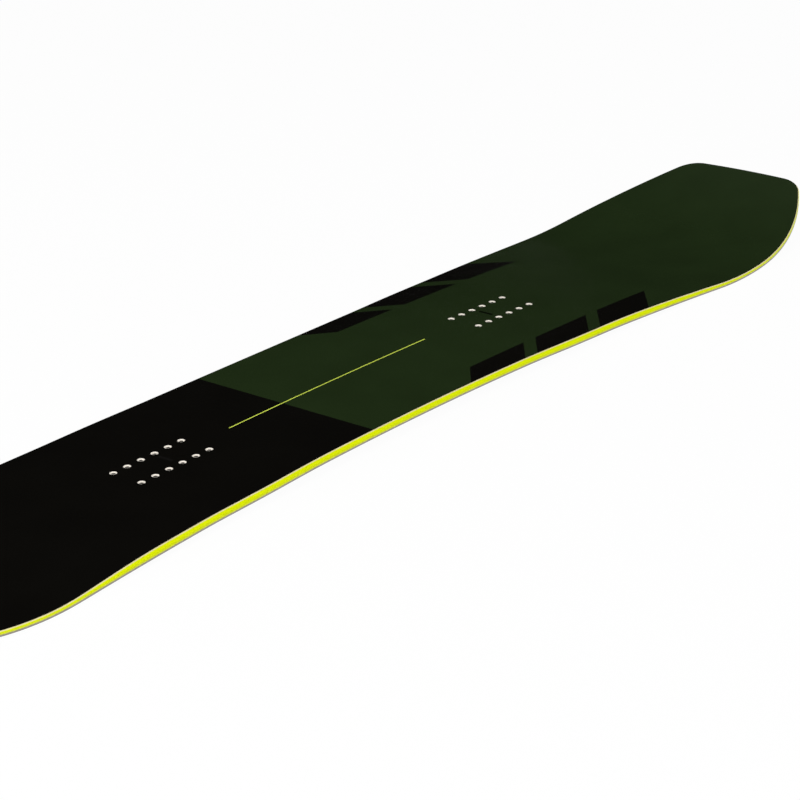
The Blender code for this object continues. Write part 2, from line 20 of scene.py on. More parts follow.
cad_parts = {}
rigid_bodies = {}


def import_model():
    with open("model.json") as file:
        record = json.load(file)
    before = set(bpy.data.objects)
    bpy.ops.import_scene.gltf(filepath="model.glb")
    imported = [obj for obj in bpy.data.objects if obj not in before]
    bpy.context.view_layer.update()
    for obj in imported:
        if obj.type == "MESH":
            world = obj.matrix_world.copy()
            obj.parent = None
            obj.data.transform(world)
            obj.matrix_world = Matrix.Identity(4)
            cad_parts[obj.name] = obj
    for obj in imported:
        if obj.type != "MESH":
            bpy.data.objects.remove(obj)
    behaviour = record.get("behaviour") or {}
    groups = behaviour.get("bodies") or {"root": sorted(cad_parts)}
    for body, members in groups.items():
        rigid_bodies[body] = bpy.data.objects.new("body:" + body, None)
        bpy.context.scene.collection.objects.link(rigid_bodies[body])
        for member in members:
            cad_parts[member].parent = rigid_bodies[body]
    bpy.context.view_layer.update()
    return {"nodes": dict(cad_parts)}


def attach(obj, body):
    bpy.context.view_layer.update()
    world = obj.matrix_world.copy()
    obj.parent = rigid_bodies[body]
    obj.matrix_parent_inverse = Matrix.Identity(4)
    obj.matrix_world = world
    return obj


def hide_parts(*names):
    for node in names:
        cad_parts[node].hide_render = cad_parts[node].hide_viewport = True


LOG = logging.getLogger("snowboard")
BODY = "root"
WELD = 1e-6  # vertices closer than this are one
SHARP_ANGLE = math.radians(12)  # smooth along the curves, crisp at every worked edge
WORKED_ANGLE = math.radians(25)  # edges sharper than this were cut or milled
ROUND_STEPS = 48  # facets round a hole or a turned piece
NOISE_SPAN = {"From Min": 0.3, "From Max": 0.7}  # most of a noise pattern's values lie in here
EDGE_FACETS = 2  # facets across a broken edge
WHITE = "#FFFFFF"


class Side(Enum):
    """Edges of the board, by the sign of Y."""

    LEFT = 1
    RIGHT = -1


class End(Enum):
    """Ends of the board, by the sign of X."""

    NOSE = 1
    TAIL = -1


class Foot(Enum):
    """Feet of the rider, by the sign of X from the stance centre."""

    FRONT = 1
    REAR = -1


class Datum(Enum):
    """What a height in the lay-up is measured from."""

    BASE = "running surface"
    CORE = "top of the core"
    BEVEL = "foot of the sidewall's bevel"


def linear(colour: str) -> tuple[float, float, float, float]:
    """Turn an sRGB hex colour into linear light.

    Args:
        colour: Colour as "#RRGGBB".

    Returns:
        Linear red, green and blue, with an alpha of one.
    """
    parts = [int(colour[k:k + 2], 16) / 255 for k in (1, 3, 5)]
    light = [c / 12.92 if c <= 0.04045 else ((c + 0.055) / 1.055) ** 2.4 for c in parts]
    return (*light, 1.0)


def set_inputs(node: bpy.types.Node, inputs: dict[str | int, object]) -> None:
    """Link or set the inputs of a node.

    Args:
        node: The node.
        inputs: Values by input name or number. An output socket is linked, the rest is set.
    """
    for key, value in inputs.items():
        if isinstance(value, bpy.types.NodeSocket):
            node.id_data.links.new(value, node.inputs[key])
        else:
            node.inputs[key].default_value = value


def add_node(tree: bpy.types.NodeTree, kind: str, inputs: dict[str | int, object] | None = None,
             out: str | int = 0, **settings: object) -> bpy.types.NodeSocket:
    """Add one node with its settings, its constant inputs and its links.

    Args:
        tree: Node tree that takes the node.
        kind: Blender's name for the type of node, without the ShaderNode that it starts with.
        inputs: Values by input name or number. An output socket is linked, the rest is set.
        out: Name or number of the output that is wanted.
        settings: Properties of the node itself.

    Returns:
        The wanted output of the new node.
    """
    node = tree.nodes.new(f"ShaderNode{kind}")
    for name, value in settings.items():
        setattr(node, name, value)
    set_inputs(node, inputs or {})
    return node.outputs[out]


@dataclass(frozen=True)
class Finish:
    """A procedural finish, whose material is made once."""

    name: str

    def material(self) -> bpy.types.Material:
        """Give the finish's material, made the first time that it is asked for.

        Returns:
            The material with its nodes.
        """
        made = bpy.data.materials.get(self.name)
        if made is None:
            made = bpy.data.materials.new(self.name)
            made.use_nodes = True
            self.dress(made.node_tree, made.node_tree.nodes["Principled BSDF"])
        return made

    def dress(self, tree: bpy.types.NodeTree, shader: bpy.types.Node) -> None:
        """Add the finish's nodes to a fresh material.

        Args:
            tree: The material's node tree.
            shader: The Principled shader in it.
        """
        raise NotImplementedError


@dataclass(frozen=True)
class PrintedTopsheet(Finish):
    """Satin polyamide topsheet with the print under it: two even inks, bars, ticks and a thin line."""

    name: str = "satin_polyamide_printed"
    ink: str = "#0B0A08"
    green: str = "#202D16"
    lime: str = "#D8E95C"
    tick_ink: str = "#060804"
    rear_tick_ink: str = "#121110"
    split: float = -0.132  # black towards the tail, green towards the nose
    line_start: float = -0.217
    line_stop: float = 0.1155
    line_width: float = 0.0016
    line_offset: float = 0.0008  # the line and the ticks lie this far off the middle
    bar_inner: float = 0.0965  # from the centre line
    bar_start: float = 0.0738
    bar_pitch: float = 0.1238
    bar_length: float = 0.1008
    bar_slant: float = 1.25  # the bars' ends lean back by this much for each unit outwards
    bar_count: int = 3
    front_tick: float = 0.232
    rear_tick: float = -0.3133
    tick_length: float = 0.0196
    tick_width: float = 0.0040
    skin_grain: float = 0.0012  # real grain is about 0.3 mm, drawn coarser so that it shows
    grain_depth: float = 0.00004
    grain_strength: float = 0.25
    handling_size: float = 0.060
    tone: tuple[float, float] = (0.93, 1.07)  # screen printed ink lies a little thinner or thicker
    roughness: tuple[float, float] = (0.22, 0.28)
    ior: float = 1.53
    specular: float = 0.08  # the dull skin throws back little light

    def dress(self, tree: bpy.types.NodeTree, shader: bpy.types.Node) -> None:
        """Print the deck by its own plan coordinates and give it a fine dull skin.

        Args:
            tree: The material's node tree.
            shader: The Principled shader in it.
        """
        # A dull clear skin over printed ink: deep even colour and only a broad weak sheen.
        place = add_node(tree, "TexCoord", out="Object")
        along = add_node(tree, "SeparateXYZ", {0: place}, out="X")
        across = along.node.outputs["Y"]
        ahead = add_node(tree, "Math", {0: along, 1: self.split}, operation="GREATER_THAN")
        field_mask = add_node(tree, "Math", {0: ahead, 1: self.bar_mask(tree, along, across)},
                              operation="SUBTRACT", use_clamp=True)
        colour = add_node(tree, "Mix",
                          {0: field_mask, 6: linear(self.ink), 7: linear(self.green)}, 2, data_type="RGBA")
        middle = (self.line_start + self.line_stop) / 2
        for ink, x, length, width in (
            (self.tick_ink, self.front_tick, self.tick_width, self.tick_length),
            (self.rear_tick_ink, self.rear_tick, self.tick_width, self.tick_length),
            (self.lime, middle, self.line_stop - self.line_start, self.line_width),
        ):
            within = add_node(tree, "Math", {0: along, 1: x, 2: length / 2}, operation="COMPARE")
            beside = add_node(tree, "Math", {0: across, 1: self.line_offset, 2: width / 2},
                              operation="COMPARE")
            mark = add_node(tree, "Math", {0: within, 1: beside}, operation="MULTIPLY")
            colour = add_node(tree, "Mix", {0: mark, 6: colour, 7: linear(ink)}, 2, data_type="RGBA")
        mottle = add_node(tree, "TexNoise",
                          {"Vector": place, "Scale": 1 / self.handling_size, "Detail": 3.0})
        tone = add_node(tree, "MapRange",
                        {"Value": mottle, **NOISE_SPAN, "To Min": self.tone[0], "To Max": self.tone[1]})
        inked = add_node(tree, "HueSaturation", {"Color": colour, "Value": tone})
        dullness = add_node(tree, "MapRange",
                            {"Value": mottle, "To Min": self.roughness[0], "To Max": self.roughness[1]})
        grain = add_node(tree, "TexNoise", {"Vector": place, "Scale": 1 / self.skin_grain, "Detail": 2.0})
        skin = add_node(tree, "Bump",
                        {"Height": grain, "Strength": self.grain_strength, "Distance": self.grain_depth})
        set_inputs(shader, {"Base Color": inked, "Roughness": dullness, "Normal": skin, "IOR": self.ior,
                            "Specular IOR Level": self.specular})

    def bar_mask(self, tree: bpy.types.NodeTree, along: bpy.types.NodeSocket,
                 across: bpy.types.NodeSocket) -> bpy.types.NodeSocket:
        """Work out where the slanted bars are.

        Args:
            tree: The material's node tree.
            along: X on the board.
            across: Y on the board.

        Returns:
            A socket that is one on a bar and zero elsewhere.
        """
        outwards = add_node(tree, "Math", {0: across}, operation="ABSOLUTE")
        leant = add_node(tree, "Math", {0: outwards, 1: self.bar_slant, 2: along},
                         operation="MULTIPLY_ADD")
        first = self.bar_start + self.bar_slant * self.bar_inner
        run = add_node(tree, "Math", {0: leant, 1: first}, operation="SUBTRACT")
        step = add_node(tree, "Math", {0: run, 1: self.bar_pitch}, operation="FLOORED_MODULO")
        inked = add_node(tree, "Math", {0: step, 1: self.bar_length}, operation="LESS_THAN")
        half_row = self.bar_pitch * self.bar_count / 2
        in_row = add_node(tree, "Math", {0: run, 1: half_row, 2: half_row}, operation="COMPARE")
        outboard = add_node(tree, "Math", {0: outwards, 1: self.bar_inner}, operation="GREATER_THAN")
        inside = add_node(tree, "Math", {0: inked, 1: in_row}, operation="MULTIPLY")
        return add_node(tree, "Math", {0: inside, 1: outboard}, operation="MULTIPLY")


@dataclass(frozen=True)
class TwoToneFinish(Finish):
    """A finish whose pattern runs from a dark and smooth tone to a light and dull one."""

    dark: str
    light: str
    roughness: tuple[float, float]

    def tones(self, tree: bpy.types.NodeTree, level: bpy.types.NodeSocket) -> dict[str | int, object]:
        """Let one pattern drive both colour and dullness.

        Args:
            tree: The material's node tree.
            level: The pattern, from zero to one.

        Returns:
            What the shader's colour and roughness take.
        """
        colour = add_node(tree, "Mix", {0: level, 6: linear(self.dark), 7: linear(self.light)}, 2,
                          data_type="RGBA")
        dullness = add_node(tree, "MapRange",
                            {"Value": level, "To Min": self.roughness[0], "To Max": self.roughness[1]})
        return {"Base Color": colour, "Roughness": dullness}


@dataclass(frozen=True)
class StreakedFinish(TwoToneFinish):
    """A finish of one material with streaks along the board: fibres, tool marks or wood grain."""

    streak_length: float
    streak_width: float
    bump: float = 0.0  # depth of the streaks in metres
    metallic: float = 0.0
    ior: float = 1.5
    specular: float = 0.5
    relief_strength: float = 0.6

    def dress(self, tree: bpy.types.NodeTree, shader: bpy.types.Node) -> None:
        """Draw the streaks in colour, dullness and relief.

        Args:
            tree: The material's node tree.
            shader: The Principled shader in it.
        """
        place = add_node(tree, "TexCoord", out="Object")
        scale = (1 / self.streak_length, 1 / self.streak_width, 1 / self.streak_width)
        stretched = add_node(tree, "Mapping", {"Vector": place, "Scale": scale})
        streaks = add_node(tree, "TexNoise",
                           {"Vector": stretched, "Scale": 1.0, "Detail": 4.0, "Roughness": 0.6})
        spread = add_node(tree, "MapRange", {"Value": streaks, **NOISE_SPAN})
        set_inputs(shader, self.tones(tree, spread))
        if self.bump:
            relief = add_node(tree, "Bump",
                              {"Height": streaks, "Strength": self.relief_strength, "Distance": self.bump})
            set_inputs(shader, {"Normal": relief})
        if self.metallic:
            set_inputs(shader, {"Metallic": self.metallic})
        else:
            set_inputs(shader, {"IOR": self.ior, "Specular IOR Level": self.specular})


@dataclass(frozen=True)
class StoneGroundBase(Finish):
    """Black sintered polyethylene, stone ground: a waxy dull sheet with fine lengthwise grooves."""

    name: str = "polyethylene_sintered_stone_ground"
    black: str = "#161617"
    fleck: str = "#2A2A2C"
    fleck_size: float = 0.0009
    plain_share: float = 0.75  # share of the grains without a fleck
    groove_pitch: float = 0.0012  # real grooves are about 0.6 mm apart, drawn coarser to show
    groove_depth: float = 0.00003
    groove_strength: float = 0.5
    groove_waver: float = 0.6  # how far the stone strays from a straight line
    roughness: float = 0.42
    ior: float = 1.51

    def dress(self, tree: bpy.types.NodeTree, shader: bpy.types.Node) -> None:
        """Rule the grooves and scatter the sinter's grey flecks.

        Args:
            tree: The material's node tree.
            shader: The Principled shader in it.
        """
        # Grains of polyethylene pressed together and ground by a stone: faint flecks and fine lines.
        place = add_node(tree, "TexCoord", out="Object")
        flecks = add_node(tree, "TexVoronoi", {"Vector": place, "Scale": 1 / self.fleck_size}, "Color")
        shown = add_node(tree, "MapRange",
                         {"Value": flecks, "From Min": self.plain_share, "From Max": 1.0})
        colour = add_node(tree, "Mix",
                          {0: shown, 6: linear(self.black), 7: linear(self.fleck)}, 2, data_type="RGBA")
        # A wave of scale s has a period of pi / 10 over s.
        wave_scale = math.pi / 10 / self.groove_pitch
        ruling = {"Vector": place, "Scale": wave_scale, "Distortion": self.groove_waver, "Detail": 1.0}
        grooves = add_node(tree, "TexWave", ruling, "Fac", bands_direction="Y")
        relief = add_node(tree, "Bump", {"Height": grooves, "Strength": self.groove_strength,
                                         "Distance": self.groove_depth})
        set_inputs(shader, {"Base Color": colour, "Normal": relief, "Roughness": self.roughness,
                            "IOR": self.ior})


@dataclass(frozen=True)
class TurnedSteel(TwoToneFinish):
    """Stainless steel from the lathe, with fine rings that follow the profile."""

    metallic: float = 1.0
    ring_pitch: float = 0.00025
    attribute: str = "turning"

    def dress(self, tree: bpy.types.NodeTree, shader: bpy.types.Node) -> None:
        """Draw tool rings by the distance along the turned profile.

        Args:
            tree: The material's node tree.
            shader: The Principled shader in it.
        """
        # A lathe tool leaves a fine spiral groove, so light spreads across the rings.
        feed = add_node(tree, "Attribute", out="Fac", attribute_name=self.attribute)
        turn = add_node(tree, "Math", {0: feed, 1: math.tau / self.ring_pitch}, operation="MULTIPLY")
        ring = add_node(tree, "Math", {0: turn}, operation="SINE")
        level = add_node(tree, "MapRange", {"Value": ring, "From Min": -1.0, "From Max": 1.0})
        set_inputs(shader, {**self.tones(tree, level), "Metallic": self.metallic})


TOPSHEET = PrintedTopsheet()
# Cut plastic under the print: dull black without the skin's grain, with fine sanding streaks.
GROUND_RIM = StreakedFinish("polyamide_black_sanded", "#0A0A09", "#141412", (0.5, 0.65), 0.012, 0.0006)
# Epoxy and glass fibre cut across: pale cream with fine fibre ends and a slight gloss.
LAMINATE = StreakedFinish("glass_epoxy_laminate_ground", "#D4CA92", "#E2D8A6", (0.40, 0.55), 0.010, 0.0007,
                          bump=0.00002, ior=1.54)
# The same laminate under the dyed sidewall: clear resin, so the colour above shines through it.
LOWER_LAMINATE = StreakedFinish("glass_epoxy_laminate_clear", "#C9CC2E", "#D6D850", (0.40, 0.55), 0.010,
                                0.0007, bump=0.00002, ior=1.54, specular=0.2)
# Dyed ABS, milled along the board: saturated colour, a satin gloss and faint tool lines.
SIDEWALL = StreakedFinish("abs_dyed_milled", "#D0DC00", "#D8E400", (0.50, 0.60), 0.060, 0.0008,
                          bump=0.00002, ior=1.53, specular=0.05)
# Hardened steel ground along the edge: grey with a warm cast and bright scratch lines.
EDGE_STEEL = StreakedFinish("edge_steel_ground", "#8A867F", "#A5A099", (0.26, 0.40), 0.020, 0.0004,
                            bump=0.00001, metallic=1.0)
# Thin vulcanised rubber: black and dull, with a faint calendered streak.
RUBBER = StreakedFinish("rubber_calendered", "#100F0E", "#1A1918", (0.80, 0.90), 0.008, 0.0010)
# Sawn poplar: pale, soft grain in long streaks.
POPLAR = StreakedFinish("poplar_sawn", "#C4A77A", "#D9C29A", (0.60, 0.75), 0.220, 0.0035, bump=0.00005)
# Sawn beech: pinkish brown, with shorter and closer flecks.
BEECH = StreakedFinish("beech_sawn", "#A87C55", "#C39A72", (0.55, 0.70), 0.060, 0.0016, bump=0.00004)
BASE = StoneGroundBase()
# Turned and bead blasted stainless steel: so matt that it scatters more light than it mirrors, which
# keeps it pale from all sides.
STEEL_INSERT = TurnedSteel("stainless_steel_turned_blasted", "#F4ECDF", "#FFF9EE", (0.50, 0.60), 0.16)
# The same steel in the tapped bore, with the bore's shade painted in: the thread's colour is made dark to
# stand for the shade deep in the hole.
STEEL_BORE_PAINTED_SHADE = TurnedSteel("stainless_steel_tapped", "#5E5850", "#777066", (0.45, 0.55))


@dataclass(frozen=True)
class Station:
    """A point of the outline with its outward normal."""

    x: float
    y: float
    normal_x: float
    normal_y: float


@dataclass(frozen=True)
class Corner:
    """One corner of a layer's section at the board's edge.

    The inset counts from the outline, or from the top of the sidewall's bevel at the rim.
    """

    inset: float
    height: float
    datum: Datum = Datum.BASE
    rim: bool = False


@dataclass(frozen=True)
class Tip:
    """One end of the outline, in a frame where u runs from mid-length towards it."""

    end: End
    reach: float
    length: float
    half_width: float
    shoulder_radius: float  # flat arc over the widest line, before the side turns in
    end_width: float
    rise_length: float
    rise_radius: float
    corner_radius: float
    taper_start: float  # the core starts to thin this far inboard of the contact line
    taper_length: float
    core_thickness: float
    shoulder_length: float = 0.0275  # from the widest line to the shoulder's end
    end_radius: float = 1.400

    @property
    def widest(self) -> float:
        """Place of the widest line."""
        return self.reach - self.length

    @property
    def contact(self) -> float:
        """Place of the contact line."""
        return self.reach - self.rise_length

    @property
    def shoulder_centre(self) -> Vector:
        """Centre of the shoulder's arc."""
        return Vector((self.widest, self.half_width - self.shoulder_radius))

    @cached_property
    def shoulder_normal(self) -> Vector:
        """Outward direction where the shoulder runs into the side arc."""
        lean = self.shoulder_length / self.shoulder_radius
        return Vector((lean, math.sqrt(1 - lean**2)))

    @cached_property
    def side_radius(self) -> float:
        """Work out the arc from the shoulder's end to the blunt end.

        Returns:
            Its radius.
        """
        start = self.shoulder_centre + self.shoulder_normal * self.shoulder_radius
        chord = start - Vector((self.reach, self.end_width / 2))
        return chord.length_squared / (2 * chord.dot(self.shoulder_normal))

    @property
    def side_centre(self) -> Vector:
        """Centre of the side arc."""
        return self.shoulder_centre + self.shoulder_normal * (self.shoulder_radius - self.side_radius)

    @property
    def end_centre(self) -> Vector:
        """Centre of the blunt end's arc."""
        return Vector((self.reach - self.end_radius, 0.0))

    @cached_property
    def corner_centre(self) -> Vector:
        """Find where the corner arc turns about.

        Returns:
            Its centre: the arc is tangent inside both the side arc and the end arc.
        """
        to_side = self.side_radius - self.corner_radius
        to_end = self.end_radius - self.corner_radius
        base = self.side_centre - self.end_centre
        along = (base.length_squared + to_end**2 - to_side**2) / (2 * base.length)
        across = math.sqrt(to_end**2 - along**2)
        forward = base.normalized()
        sideways = Vector((forward.y, -forward.x))
        if sideways.x < 0:
            sideways = -sideways
        return self.end_centre + forward * along + sideways * across

    @cached_property
    def corner_angles(self) -> tuple[float, float]:
        """Find where the corner arc runs into its neighbours.

        Returns:
            Directions of its ends, at the side arc and at the blunt end.
        """
        from_side = self.corner_centre - self.side_centre
        from_end = self.corner_centre - self.end_centre
        return math.atan2(from_side.y, from_side.x), math.atan2(from_end.y, from_end.x)

    @property
    def corner_start(self) -> float:
        """Place where the side arc ends and the corner begins."""
        return self.corner_centre.x + self.corner_radius * math.cos(self.corner_angles[0])

    def stations(self, corner_steps: int, end_steps: int) -> list[Station]:
        """Follow the outline from just past the corner's start to the middle of the tip.

        Args:
            corner_steps: Number of steps round the corner.
            end_steps: Number of steps along half of the blunt end.

        Returns:
            The stations in order.
        """
        start, stop = self.corner_angles
        turns = [(self.corner_centre, self.corner_radius, start + (stop - start) * k / corner_steps)
                 for k in range(1, corner_steps + 1)]
        turns += [(self.end_centre, self.end_radius, stop * (1 - k / end_steps))
                  for k in range(1, end_steps + 1)]
        sign = self.end.value
        found = []
        for centre, radius, angle in turns:
            normal = Vector((math.cos(angle), math.sin(angle)))
            point = centre + normal * radius
            found.append(Station(sign * point.x, point.y, sign * normal.x, normal.y))
        return found


@dataclass(frozen=True)
class Board:
    """Outline, side profile and lay-up of the board: the sizes that all pieces share."""

    waist: float = 0.2562
    nose: Tip = Tip(End.NOSE, reach=0.810, length=0.2328, half_width=0.1523, shoulder_radius=0.910,
                    end_width=0.1626, rise_length=0.267, rise_radius=0.740, corner_radius=0.0415,
                    taper_start=0.235, taper_length=0.300, core_thickness=0.0022)
    tail: Tip = Tip(End.TAIL, reach=0.810, length=0.2167, half_width=0.1435, shoulder_radius=0.4015,
                    end_width=0.1600, rise_length=0.190, rise_radius=0.725, corner_radius=0.048,
                    taper_start=0.160, taper_length=0.153, core_thickness=0.0025)
    grip_bulge: float = 0.0011
    grip_bulge_length: float = 0.190
    grip_bulge_inboard: float = 0.017
    stance: float = 0.560
    setback: float = 0.040
    insert_pitch: float = 0.020
    row_spacing: float = 0.040
    columns: int = 6
    pad_length: float = 0.130
    camber: float = 0.0123
    base_thickness: float = 0.0012
    edge_width: float = 0.00205
    edge_height: float = 0.00185
    flange_seat: float = 0.00125
    flange_inset: float = 0.0060
    foil_top: float = 0.00225
    foil_inset: float = 0.0075
    foil_lip: float = 0.0004  # resin that seals the foil's outer rim
    joggle_outer: float = 0.0079
    joggle_inner: float = 0.0087
    joggle_depth: float = 0.0010
    laminate_top: float = 0.00295
    core_seat: float = 0.0020
    core_thickness: float = 0.0058
    core_past_contact: float = 0.070
    sidewall_inset: float = 0.0097
    bevel_height: float = 0.0023
    bevel_run: float = 0.0013
    laminate_seat: float = 0.00005  # levels above the core's top face
    topsheet_seat: float = 0.00095
    deck_level: float = 0.0015
    seam: float = 0.0003
    run_step: float = 0.008
    corner_steps: int = 24
    end_steps: int = 10

    @cached_property
    def sidecut(self) -> tuple[float, float]:
        """Fit the arc that is tangent to both shoulders.

        Returns:
            Its radius and the waist's place along the board.
        """
        nose_flare = self.nose.half_width - self.waist / 2
        tail_flare = self.tail.half_width - self.waist / 2
        span = self.nose.widest + self.tail.widest
        square = 1 / (2 * nose_flare) - 1 / (2 * tail_flare)
        first = span / tail_flare
        constant = (nose_flare - tail_flare) / 2 - self.nose.shoulder_radius + self.tail.shoulder_radius
        constant -= span**2 / (2 * tail_flare)
        to_nose = -2 * constant / (first + math.sqrt(first**2 - 4 * square * constant))
        radius = (to_nose**2 + nose_flare**2) / (2 * nose_flare) - self.nose.shoulder_radius
        return radius, self.nose.widest - to_nose

    def pack_centre(self, foot: Foot) -> float:
        """X of the middle of one foot's inserts."""
        return -self.setback + foot.value * self.stance / 2

    def bulge(self, x: float) -> float:
        """Give the extra half width beside the feet.

        Args:
            x: Place along the board.

        Returns:
            The smooth swell there, zero away from the feet.
        """
        swell = 0.0
        for foot in Foot:
            centre = self.pack_centre(foot) - foot.value * self.grip_bulge_inboard
            reach = (x - centre) / (self.grip_bulge_length / 2)
            if abs(reach) < 1:
                swell += self.grip_bulge * (1 + math.cos(math.pi * reach)) / 2
        return swell

    def half_width(self, x: float) -> float:
        """Give the half width of the outline between its corners.

        Args:
            x: Place along the board.

        Returns:
            Half of the width over the steel edges.
        """
        radius, waist_x = self.sidecut
        for tip in (self.nose, self.tail):
            u = tip.end.value * x
            waist_u = tip.end.value * waist_x
            share = radius / (radius + tip.shoulder_radius)
            if u > waist_u + (tip.widest - waist_u) * share:
                centre, arc = tip.shoulder_centre, tip.shoulder_radius
                if u > tip.widest + tip.shoulder_length:
                    centre, arc = tip.side_centre, tip.side_radius
                return centre.y + math.sqrt(arc**2 - (u - centre.x) ** 2) + self.bulge(x)
        return self.waist / 2 + radius - math.sqrt(radius**2 - (x - waist_x) ** 2) + self.bulge(x)

    def side_station(self, x: float) -> Station:
        """Give the outline's point and normal at x, between the corners.

        Args:
            x: Place along the board.

        Returns:
            The station there.
        """
        step = 1e-4
        slope = (self.half_width(x + step) - self.half_width(x - step)) / (2 * step)
        size = math.hypot(slope, 1.0)
        return Station(x, self.half_width(x), -slope / size, 1 / size)

    def run(self, start: float, stop: float) -> list[Station]:
        """Follow the long side of the outline.

        Args:
            start: X of the first station.
            stop: X of the last station.

        Returns:
            Stations from start to stop, with one at each end of a flat pad.
        """
        keys = [start, stop]
        for foot in Foot:
            centre = self.pack_centre(foot)
            keys += [x for x in (centre - self.pad_length / 2, centre + self.pad_length / 2)
                     if start < x < stop]
        keys.sort()
        places = [start]
        for low, high in zip(keys[:-1], keys[1:]):
            count = max(1, math.ceil((high - low) / self.run_step))
            places += [low + (high - low) * k / count for k in range(1, count + 1)]
        return [self.side_station(x) for x in places]

    def end_stations(self, tip: Tip) -> list[Station]:
        """Stations round one tip's corner to its middle."""
        return tip.stations(self.corner_steps, self.end_steps)

    @cached_property
    def outline(self) -> list[Station]:
        """Half outline from the middle of the tail to the middle of the nose."""
        middle = self.run(-self.tail.corner_start, self.nose.corner_start)
        return self.end_stations(self.tail)[::-1] + middle + self.end_stations(self.nose)

    def core_end(self, tip: Tip) -> float:
        """X where the wood and the sidewalls stop at one end."""
        return tip.end.value * (tip.contact + self.core_past_contact)

    def true_running_surface(self, x: float) -> float:
        """Give the height of the running surface without the flat pads.

        Args:
            x: Place along the board.

        Returns:
            Height above the floor: one camber arc, tangent to the rise at either end.
        """
        middle = (self.nose.contact - self.tail.contact) / 2
        half_contact = (self.nose.contact + self.tail.contact) / 2
        tip = self.nose if x > middle else self.tail
        reach = abs(x - middle)
        radii = (half_contact**2 + self.camber**2) / (2 * self.camber)
        camber_radius = radii - tip.rise_radius
        if reach < half_contact * camber_radius / radii:
            return self.camber - camber_radius + math.sqrt(camber_radius**2 - reach**2)
        return tip.rise_radius - math.sqrt(tip.rise_radius**2 - (reach - half_contact) ** 2)

    def running_surface(self, x: float) -> float:
        """Give the height of the running surface, flat under each insert pack.

        Args:
            x: Place along the board.

        Returns:
            Height above the floor.
        """
        for foot in Foot:
            low = self.pack_centre(foot) - self.pad_length / 2
            share = (x - low) / self.pad_length
            if 0 < share < 1:
                ends = (self.true_running_surface(low), self.true_running_surface(low + self.pad_length))
                return ends[0] * (1 - share) + ends[1] * share
        return self.true_running_surface(x)

    def core(self, x: float) -> float:
        """Give the thickness of the core, full underfoot and thin at both ends.

        Args:
            x: Place along the board.

        Returns:
            Thickness in metres.
        """
        tip = self.nose if x > (self.nose.contact - self.tail.contact) / 2 else self.tail
        past = tip.end.value * x - (tip.contact - tip.taper_start)
        share = min(1.0, max(0.0, past / tip.taper_length))
        blend = (1 - math.cos(math.pi * share)) / 2
        return self.core_thickness + (tip.core_thickness - self.core_thickness) * blend

    def bevel_share(self, x: float) -> float:
        """Part of the full sidewall bevel that the rim is thick enough for."""
        return min(1.0, (self.core(x) - self.joggle_depth) / 2 / self.bevel_height)

    def height(self, x: float, corner: Corner) -> float:
        """Give the height of a corner of the lay-up.

        Args:
            x: Place along the board.
            corner: The corner.

        Returns:
            Height above the floor.
        """
        floor = self.running_surface(x)
        if corner.datum is Datum.BASE:
            return floor + corner.height
        top = floor + self.core_seat + self.core(x)
        if corner.datum is Datum.CORE:
            return top + corner.height
        return top - self.bevel_height * self.bevel_share(x) + corner.height

    def point(self, station: Station, corner: Corner, side: Side, clear: float = 0.0) -> Vector:
        """Place a corner of the lay-up at a station of the outline.

        Args:
            station: The station.
            corner: The corner.
            side: Edge of the board.
            clear: Least distance from the centre line.

        Returns:
            The point.
        """
        inset = corner.inset
        if corner.rim:
            inset += self.bevel_run * self.bevel_share(station.x)
        x = station.x - inset * station.normal_x
        y = max(station.y - inset * station.normal_y, clear)
        return Vector((x, side.value * y, self.height(x, corner)))

    def rail(self, stations: Sequence[Station], corners: Sequence[Corner],
             side: Side) -> bmesh.types.BMesh:
        """Sweep a section along one edge of the board.

        Args:
            stations: Where the section stands.
            corners: The closed section.
            side: Edge of the board.

        Returns:
            The closed rail.
        """
        clear = self.seam / 2
        return swept([[self.point(s, c, side, clear) for c in corners] for s in stations])

    def plate(self, stations: Sequence[Station], corners: Sequence[Corner]) -> bmesh.types.BMesh:
        """Sweep a layer that reaches from edge to edge.

        Args:
            stations: Where the section stands.
            corners: The layer's left edge, from its under face to its top face.

        Returns:
            The closed plate.
        """
        return swept([[self.point(s, c, Side.LEFT) for c in corners]
                      + [self.point(s, c, Side.RIGHT) for c in reversed(corners)] for s in stations])

    def insert_seat(self, foot: Foot, side: Side, column: int) -> Matrix:
        """Place one insert, square to its flat pad and standing on the lower laminate.

        Args:
            foot: Which pack.
            side: Which row.
            column: Number in the row, from the tail.

        Returns:
            The insert's own frame.
        """
        centre = self.pack_centre(foot)
        half = self.pad_length / 2
        rise = self.running_surface(centre + half) - self.running_surface(centre - half)
        tilt = Matrix.Rotation(-math.atan2(rise, self.pad_length), 4, "Y")
        x = centre + (column - (self.columns - 1) / 2) * self.insert_pitch
        y = side.value * self.row_spacing / 2
        return Matrix.Translation((x, y, self.running_surface(x) + self.core_seat)) @ tilt

    def insert_seats(self) -> list[tuple[Foot, Side, int, Matrix]]:
        """Every insert's place: its foot, row, number and frame."""
        return [(foot, side, column, self.insert_seat(foot, side, column))
                for foot in Foot for side in Side for column in range(self.columns)]


def swept(sections: Sequence[Sequence[Vector]]) -> bmesh.types.BMesh:
    """Bend a grid into a closed tube through a row of sections.

    Args:
        sections: Rings of points, all with the same number of corners.

    Returns:
        The tube with its ends closed and its faces pointing out.
    """
    steps = len(sections) - 1
    corners = len(sections[0])
    bm = bmesh.new()
    bmesh.ops.create_grid(bm, x_segments=steps, y_segments=corners, size=0.5)
    for vert in bm.verts:
        row = round((vert.co.x + 0.5) * steps)
        column = round((vert.co.y + 0.5) * corners)
        vert.co = sections[row][column % corners]
    bmesh.ops.remove_doubles(bm, verts=bm.verts, dist=WELD)
    bmesh.ops.holes_fill(bm, edges=[edge for edge in bm.edges if edge.is_boundary], sides=0)
    bmesh.ops.recalc_face_normals(bm, faces=bm.faces)
    return bm


